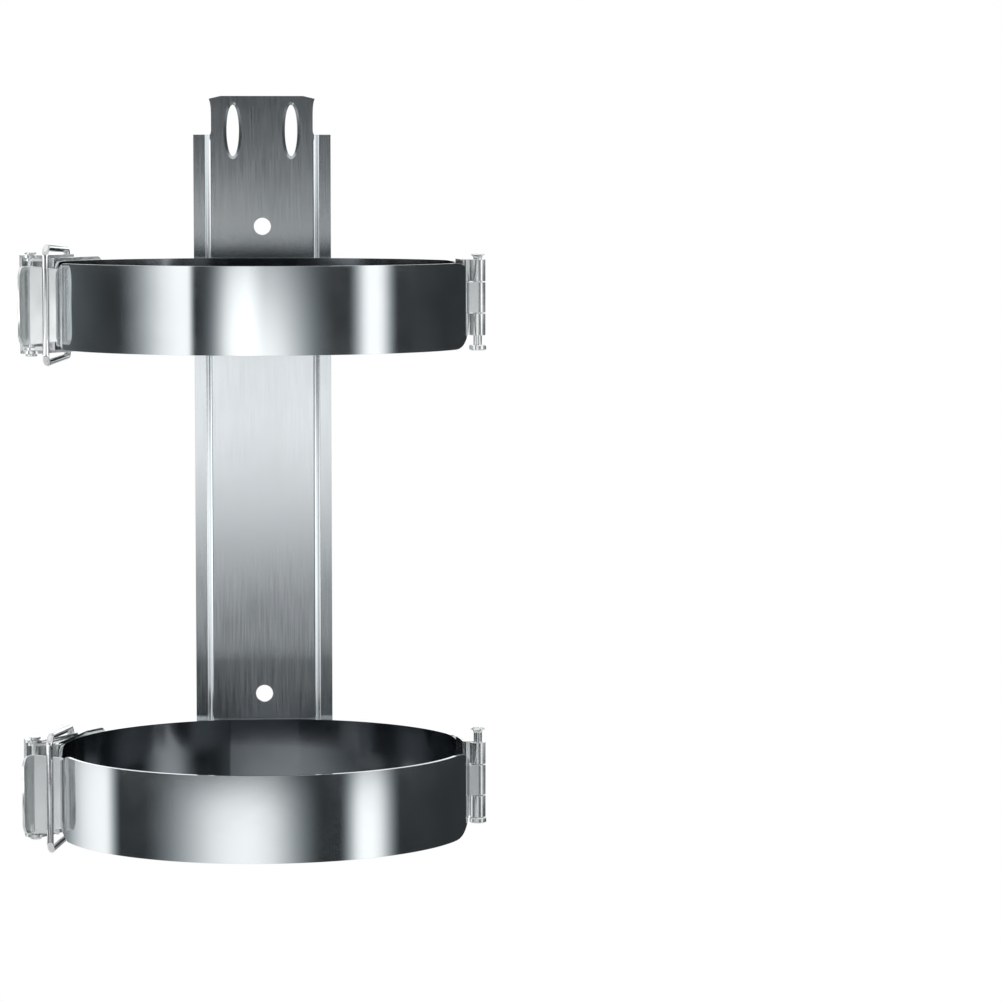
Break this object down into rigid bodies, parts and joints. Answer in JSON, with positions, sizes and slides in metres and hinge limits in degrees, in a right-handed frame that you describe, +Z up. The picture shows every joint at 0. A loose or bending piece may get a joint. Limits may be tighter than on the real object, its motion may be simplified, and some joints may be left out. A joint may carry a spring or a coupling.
{
  "type": "fire extinguisher bracket",
  "caption": "Upright stainless wall plate with hinged clamp bands, each held shut round a cylinder by an over-centre lever, a wire bail and a hook keeper.",
  "frame": {"origin": "in the wall plane, behind the middle of the lower round screw hole", "axes": "+Z up along the plate, +X to the right seen from the front, +Y into the wall"},
  "size_m": [0.2088, 0.1894, 0.3529],
  "materials": {
    "satin_stainless": "satin stainless steel, fine vertical grain",
    "polished_stainless": "mirror-polished stainless steel",
    "stamped_stainless": "tumbled bright stainless stampings",
    "bright_wire": "bright drawn stainless wire"
  },
  "bodies": {
    "bracket": {"back_plate": "satin_stainless", "upper_rear_band": "polished_stainless", "upper_hinge_rear_leaf": "stamped_stainless", "upper_latch_base": "stamped_stainless", "upper_lever_pin": "stamped_stainless", "lower_rear_band": "polished_stainless", "lower_hinge_rear_leaf": "stamped_stainless", "lower_latch_base": "stamped_stainless", "lower_lever_pin": "stamped_stainless"},
    "upper_front": {"upper_front_band": "polished_stainless", "upper_hinge_front_leaf": "stamped_stainless", "upper_keeper": "stamped_stainless"},
    "upper_pin": {"upper_hinge_pin": "stamped_stainless"},
    "upper_lever": {"upper_latch_lever": "stamped_stainless"},
    "upper_bail": {"upper_wire_bail": "bright_wire"},
    "lower_front": {"lower_front_band": "polished_stainless", "lower_hinge_front_leaf": "stamped_stainless", "lower_keeper": "stamped_stainless"},
    "lower_pin": {"lower_hinge_pin": "stamped_stainless"},
    "lower_lever": {"lower_latch_lever": "stamped_stainless"},
    "lower_bail": {"lower_wire_bail": "bright_wire"}
  },
  "joints": [
    {"name": "upper_front_swing", "type": "hinge", "parent": "bracket", "child": "upper_front", "pos_m": [0.0963, -0.09689, 0.19], "axis": [0, 0, 1], "range_deg": [0, 110]},
    {"name": "upper_lever_swing", "type": "hinge", "parent": "bracket", "child": "upper_lever", "pos_m": [-0.1035, -0.09089, 0.187], "axis": [0, 0, 1], "range_deg": [0, 120]},
    {"name": "upper_bail_swing", "type": "hinge", "parent": "upper_lever", "child": "upper_bail", "pos_m": [-0.08847, -0.06889, 0.187], "axis": [0, 0, 1], "range_deg": [-85, 0]},
    {"name": "upper_pin_float", "type": "slide", "parent": "bracket", "child": "upper_pin", "axis": [0, 0, 1], "range_m": [0, 0.004]},
    {"name": "lower_front_swing", "type": "hinge", "parent": "bracket", "child": "lower_front", "pos_m": [0.0963, -0.09689, -0.0282], "axis": [0, 0, 1], "range_deg": [0, 110]},
    {"name": "lower_lever_swing", "type": "hinge", "parent": "bracket", "child": "lower_lever", "pos_m": [-0.1035, -0.09089, -0.0312], "axis": [0, 0, 1], "range_deg": [0, 120]},
    {"name": "lower_bail_swing", "type": "hinge", "parent": "lower_lever", "child": "lower_bail", "pos_m": [-0.08847, -0.06889, -0.0312], "axis": [0, 0, 1], "range_deg": [-85, 0]},
    {"name": "lower_pin_float", "type": "slide", "parent": "bracket", "child": "lower_pin", "axis": [0, 0, 1], "range_m": [-0.004, 0]}
  ],
  "couplings": [
    {"joint": "upper_lever_swing", "follows": "upper_front_swing", "ratio": 1.09},
    {"joint": "upper_bail_swing", "follows": "upper_front_swing", "ratio": -0.77},
    {"joint": "lower_lever_swing", "follows": "lower_front_swing", "ratio": 1.09},
    {"joint": "lower_bail_swing", "follows": "lower_front_swing", "ratio": -0.77}
  ]
}
